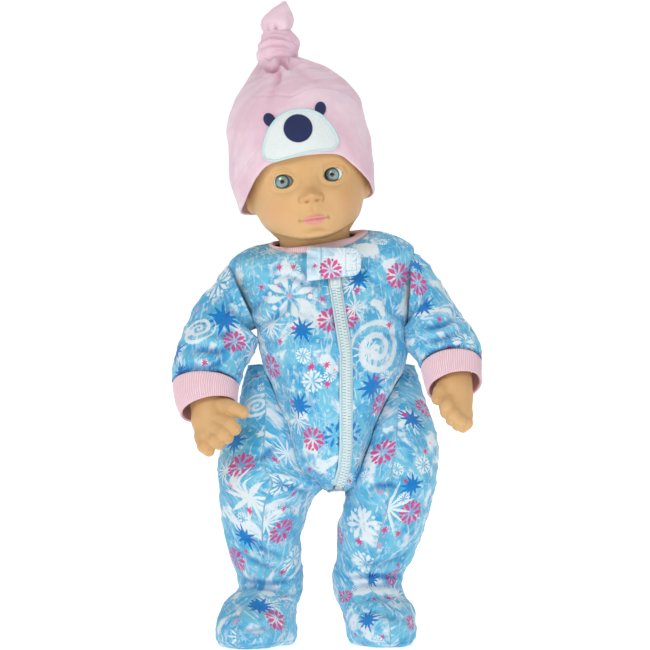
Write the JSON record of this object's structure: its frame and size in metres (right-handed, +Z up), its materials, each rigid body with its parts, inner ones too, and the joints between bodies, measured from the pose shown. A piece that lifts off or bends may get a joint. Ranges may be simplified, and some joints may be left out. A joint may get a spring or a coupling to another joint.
{
  "type": "baby doll",
  "caption": "Soft-bodied baby doll standing in a footed zip fleece sleeper and knotted beanie, with sleep eyes, swinging limbs, turning head and a press-button voice unit.",
  "frame": {"origin": "on the floor under the middle of the doll, between the soles", "axes": "+Z up along the standing doll, -Y the way it faces, +X the doll's own left"},
  "size_m": [0.2065, 0.1126, 0.4308],
  "materials": {
    "vinyl": "soft matt skin-toned vinyl",
    "eye_plastic": "polished eye plastic with printed iris",
    "white_plastic": "moulded white plastic",
    "rib_knit": "pale pink rib knit",
    "hat_jersey": "pale pink cotton jersey",
    "applique_white": "white felt with satin-stitched edge",
    "applique_navy": "navy satin stitch",
    "fleece_print": "printed brushed fleece, blue with stars and snowflakes",
    "cotton_body": "plain woven cotton",
    "stuffing": "polyester stuffing",
    "zip_resin": "moulded white zip resin",
    "zip_tape": "woven tape",
    "hook_loop": "hook and loop",
    "steel": "bright steel",
    "iron_weight": "cast weight",
    "board": "green board",
    "speaker_black": "black cone and frame",
    "battery": "wrapped cell",
    "button_pink": "pink moulded plastic",
    "switch_black": "black moulded plastic"
  },
  "bodies": {
    "torso": {"neck_socket": "white_plastic", "neck_tie": "white_plastic", "cloth_body": "cotton_body", "body_filling": "stuffing", "sleeper_back": "fleece_print", "sleeper_front_left": "fleece_print", "sleeper_front_right": "fleece_print", "collar_rib": "rib_knit", "zip_tape": "zip_tape", "zip_teeth_left": "zip_resin", "zip_teeth_right": "zip_resin", "zip_stop": "zip_resin", "flap_loop_patch": "hook_loop", "case_front": "white_plastic", "case_back": "white_plastic", "speaker": "speaker_black", "circuit_board": "board", "batteries": "battery", "battery_contacts": "steel", "battery_door": "white_plastic", "case_screws": "steel", "button_spring": "steel"},
    "neck": {"neck_ball": "white_plastic", "neck_retainer": "steel"},
    "head": {"head_shell": "vinyl", "neck_flange": "white_plastic", "eye_socket_left": "white_plastic", "eye_socket_right": "white_plastic"},
    "eye_left": {"eyeball_left": "eye_plastic", "eye_pins_left": "steel", "eye_weight_left": "iron_weight"},
    "eye_right": {"eyeball_right": "eye_plastic", "eye_pins_right": "steel", "eye_weight_right": "iron_weight"},
    "hat": {"hat_body": "hat_jersey", "hat_knot": "hat_jersey", "muzzle_patch": "applique_white", "nose_patch": "applique_navy", "ear_patches": "applique_navy"},
    "slider": {"zip_slider": "zip_resin"},
    "flap": {"tab_flap": "fleece_print", "flap_hook_patch": "hook_loop"},
    "button": {"tummy_button": "button_pink"},
    "switch": {"power_switch": "switch_black"},
    "arm_left": {"arm_left": "vinyl", "sleeve_left": "fleece_print", "cuff_left": "rib_knit"},
    "arm_right": {"arm_right": "vinyl", "sleeve_right": "fleece_print", "cuff_right": "rib_knit"},
    "leg_left": {"leg_left": "vinyl", "thigh_left": "fleece_print", "thigh_filling_left": "stuffing", "bootie_left": "fleece_print"},
    "leg_right": {"leg_right": "vinyl", "thigh_right": "fleece_print", "thigh_filling_right": "stuffing", "bootie_right": "fleece_print"}
  },
  "joints": [
    {"name": "head_nod", "type": "hinge", "parent": "torso", "child": "neck", "pos_m": [-0.00456, 0.002, 0.25408], "axis": [0.9898, 0, 0.1426], "range_deg": [-3, 4]},
    {"name": "head_turn", "type": "hinge", "parent": "neck", "child": "head", "pos_m": [-0.0057, 0.002, 0.262], "axis": [-0.1426, 0, 0.9898], "range_deg": [-50, 50]},
    {"name": "hat_lift", "type": "slide", "parent": "head", "child": "hat", "axis": [-0.1426, 0, 0.9898], "range_m": [0, 0.12]},
    {"name": "eye_close_left", "type": "hinge", "parent": "head", "child": "eye_left", "pos_m": [0.00503, -0.02824, 0.31437], "axis": [0.9888, 0.0436, 0.1425], "range_deg": [0, 70]},
    {"name": "eye_close_right", "type": "hinge", "parent": "head", "child": "eye_right", "pos_m": [-0.0281, -0.0297, 0.30959], "axis": [0.9888, 0.0436, 0.1425], "range_deg": [0, 70]},
    {"name": "arm_swing_left", "type": "hinge", "parent": "torso", "child": "arm_left", "pos_m": [0.0578, 0.001, 0.236], "axis": [-0.9976, 0, 0.0698], "range_deg": [-30, 110]},
    {"name": "arm_swing_right", "type": "hinge", "parent": "torso", "child": "arm_right", "pos_m": [-0.0562, 0.001, 0.2324], "axis": [-0.9063, 0, -0.4226], "range_deg": [0, 110]},
    {"name": "leg_swing_left", "type": "hinge", "parent": "torso", "child": "leg_left", "pos_m": [0.052, 0.002, 0.15], "axis": [-1, 0, 0], "range_deg": [-15, 90], "deforming": ["thigh_left", "thigh_filling_left"]},
    {"name": "leg_swing_right", "type": "hinge", "parent": "torso", "child": "leg_right", "pos_m": [-0.045, 0.001, 0.15], "axis": [-1, 0, 0], "range_deg": [-15, 90], "deforming": ["thigh_right", "thigh_filling_right"]},
    {"name": "tab_open", "type": "hinge", "parent": "torso", "child": "flap", "pos_m": [-0.0119, -0.0373, 0.255], "axis": [0, 0, -1], "range_deg": [0, 110]},
    {"name": "zip_slide", "type": "slide", "parent": "torso", "child": "slider", "axis": [0.1449, -0.3861, -0.911], "range_m": [0, 0.025]},
    {"name": "button_press", "type": "slide", "parent": "torso", "child": "button", "axis": [0, 1, 0], "range_m": [0, 0.002], "stiffness_N_per_m": 300, "deforming": ["button_spring"]},
    {"name": "switch_slide", "type": "slide", "parent": "torso", "child": "switch", "axis": [1, 0, 0], "range_m": [0, 0.003]}
  ],
  "couplings": [
    {"joint": "eye_close_right", "follows": "eye_close_left", "ratio": 1}
  ]
}
